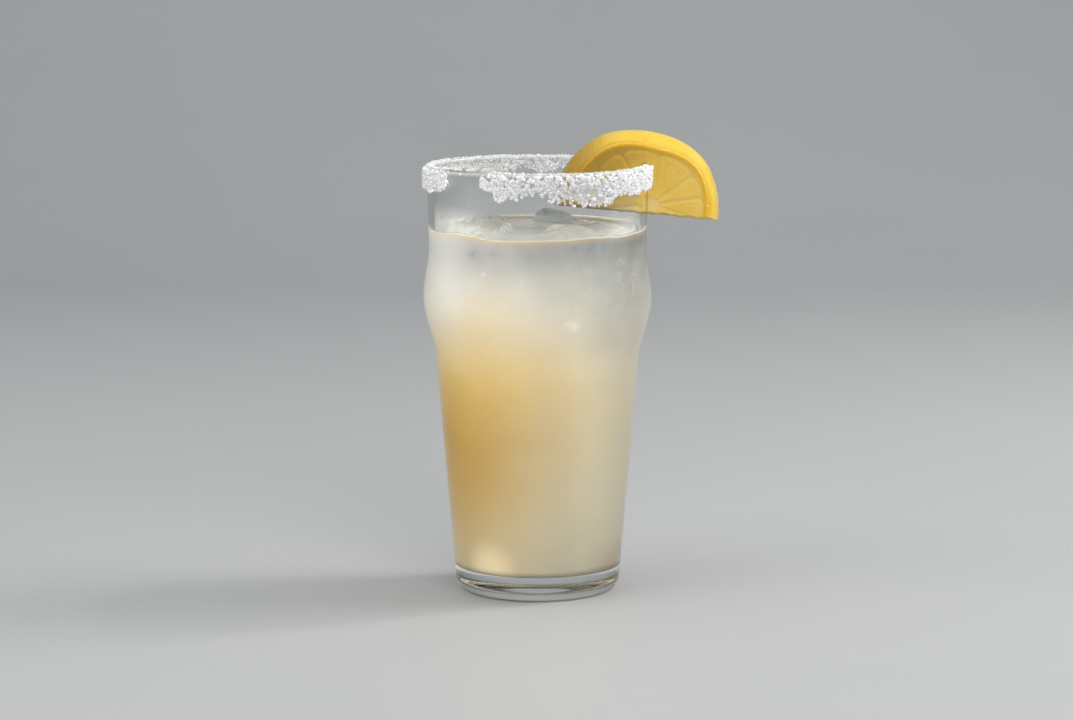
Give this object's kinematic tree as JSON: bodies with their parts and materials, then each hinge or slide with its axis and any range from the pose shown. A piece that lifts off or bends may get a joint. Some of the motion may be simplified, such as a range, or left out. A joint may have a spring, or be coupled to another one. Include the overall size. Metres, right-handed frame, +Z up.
{
  "type": "glass of lemonade",
  "caption": "Tall bulged glass of cloudy lemonade with floating ice, a coarse salt-crusted rim and a thick half slice of lemon slit over it.",
  "frame": {"origin": "centre of the glass's foot, on the surface that it stands on", "axes": "+Z up the glass's axis, +X towards the lemon slice, -Y towards the front of the drink"},
  "size_m": [0.1089, 0.0836, 0.168],
  "materials": {
    "glass": "clear, smooth drinking glass with a thick foot",
    "lemonade": "cloudy drink, greyish white at the top and pale straw below",
    "ice": "wet, half-melted clear ice",
    "lemon": "waxy dimpled yellow peel, pale pith and wet translucent pulp",
    "salt": "coarse sparkling white crystals"
  },
  "bodies": {
    "root": {"glass": "glass", "lemonade": "lemonade", "ice_cube_left": "ice", "ice_cube_back": "ice", "ice_cube_front": "ice", "ice_cube_right": "ice", "lemon_slice": "lemon"}
  },
  "joints": []
}
